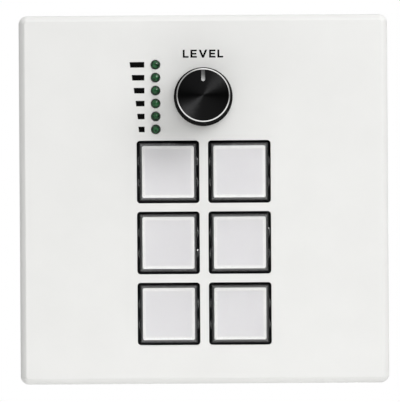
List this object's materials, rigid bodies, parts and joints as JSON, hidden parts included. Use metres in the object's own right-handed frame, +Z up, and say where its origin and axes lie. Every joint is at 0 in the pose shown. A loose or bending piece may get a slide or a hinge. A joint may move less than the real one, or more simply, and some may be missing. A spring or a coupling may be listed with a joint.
{
  "type": "control keypad",
  "caption": "Square white wall-plate keypad with clear-capped push buttons, a black turned level knob and a column of green level lamps, for a single-gang wall box.",
  "frame": {"origin": "midway between the two wall-box screw slots, on the wall's surface", "axes": "X to the right and Z up as seen from the front, +Y into the wall, so the front faces -Y"},
  "size_m": [0.086, 0.0526, 0.086],
  "materials": {
    "plate_white": "moulded, fine satin",
    "frame_steel": "zinc plated sheet",
    "housing_black": "moulded, satin",
    "board_green": "lacquered laminate",
    "terminal_green": "moulded",
    "plain_steel": "plated",
    "spacer_brass": "turned",
    "knob_black": "black, turned, with a polished ring",
    "insert_plastic": "moulded",
    "lamp_green": "tinted clear",
    "cap_clear": "clear, polished",
    "label_white": "smooth",
    "carrier_black": "moulded, satin"
  },
  "bodies": {
    "panel": {"front_plate": "plate_white", "wall_frame": "frame_steel", "rear_housing": "housing_black", "lamp_holder": "housing_black", "encoder_body": "housing_black", "controller_chip": "housing_black", "link_header": "housing_black", "link_socket": "housing_black", "switch_body_1": "housing_black", "switch_body_2": "housing_black", "switch_body_3": "housing_black", "switch_body_4": "housing_black", "switch_body_5": "housing_black", "switch_body_6": "housing_black", "button_board": "board_green", "main_board": "board_green", "supply_socket": "terminal_green", "supply_plug": "terminal_green", "control_socket": "terminal_green", "control_plug": "terminal_green", "frame_screws": "plain_steel", "board_screws": "plain_steel", "terminal_screws": "plain_steel", "encoder_bushing": "plain_steel", "return_spring_1": "plain_steel", "return_spring_2": "plain_steel", "return_spring_3": "plain_steel", "return_spring_4": "plain_steel", "return_spring_5": "plain_steel", "return_spring_6": "plain_steel", "board_spacers": "spacer_brass", "level_lamp_1": "lamp_green", "level_lamp_2": "lamp_green", "level_lamp_3": "lamp_green", "level_lamp_4": "lamp_green", "level_lamp_5": "lamp_green", "level_lamp_6": "lamp_green"},
    "button_1": {"button_cap_1": "cap_clear", "button_label_1": "label_white", "button_carrier_1": "carrier_black"},
    "button_2": {"button_cap_2": "cap_clear", "button_label_2": "label_white", "button_carrier_2": "carrier_black"},
    "button_3": {"button_cap_3": "cap_clear", "button_label_3": "label_white", "button_carrier_3": "carrier_black"},
    "button_4": {"button_cap_4": "cap_clear", "button_label_4": "label_white", "button_carrier_4": "carrier_black"},
    "button_5": {"button_cap_5": "cap_clear", "button_label_5": "label_white", "button_carrier_5": "carrier_black"},
    "button_6": {"button_cap_6": "cap_clear", "button_label_6": "label_white", "button_carrier_6": "carrier_black"},
    "knob": {"knob": "knob_black", "knob_insert": "insert_plastic", "encoder_shaft": "plain_steel"}
  },
  "joints": [
    {"name": "button_1_press", "type": "slide", "parent": "panel", "child": "button_1", "axis": [0, 1, 0], "range_m": [0, 0.0012], "stiffness_N_per_m": 650, "springref_m": -0.0015, "deforming": ["return_spring_1"]},
    {"name": "button_2_press", "type": "slide", "parent": "panel", "child": "button_2", "axis": [0, 1, 0], "range_m": [0, 0.0012], "stiffness_N_per_m": 650, "springref_m": -0.0015, "deforming": ["return_spring_2"]},
    {"name": "button_3_press", "type": "slide", "parent": "panel", "child": "button_3", "axis": [0, 1, 0], "range_m": [0, 0.0012], "stiffness_N_per_m": 650, "springref_m": -0.0015, "deforming": ["return_spring_3"]},
    {"name": "button_4_press", "type": "slide", "parent": "panel", "child": "button_4", "axis": [0, 1, 0], "range_m": [0, 0.0012], "stiffness_N_per_m": 650, "springref_m": -0.0015, "deforming": ["return_spring_4"]},
    {"name": "button_5_press", "type": "slide", "parent": "panel", "child": "button_5", "axis": [0, 1, 0], "range_m": [0, 0.0012], "stiffness_N_per_m": 650, "springref_m": -0.0015, "deforming": ["return_spring_5"]},
    {"name": "button_6_press", "type": "slide", "parent": "panel", "child": "button_6", "axis": [0, 1, 0], "range_m": [0, 0.0012], "stiffness_N_per_m": 650, "springref_m": -0.0015, "deforming": ["return_spring_6"]},
    {"name": "knob_turn", "type": "hinge", "parent": "panel", "child": "knob", "pos_m": [0, -0.0156, 0.0239], "axis": [0, 1, 0], "continuous": true}
  ]
}
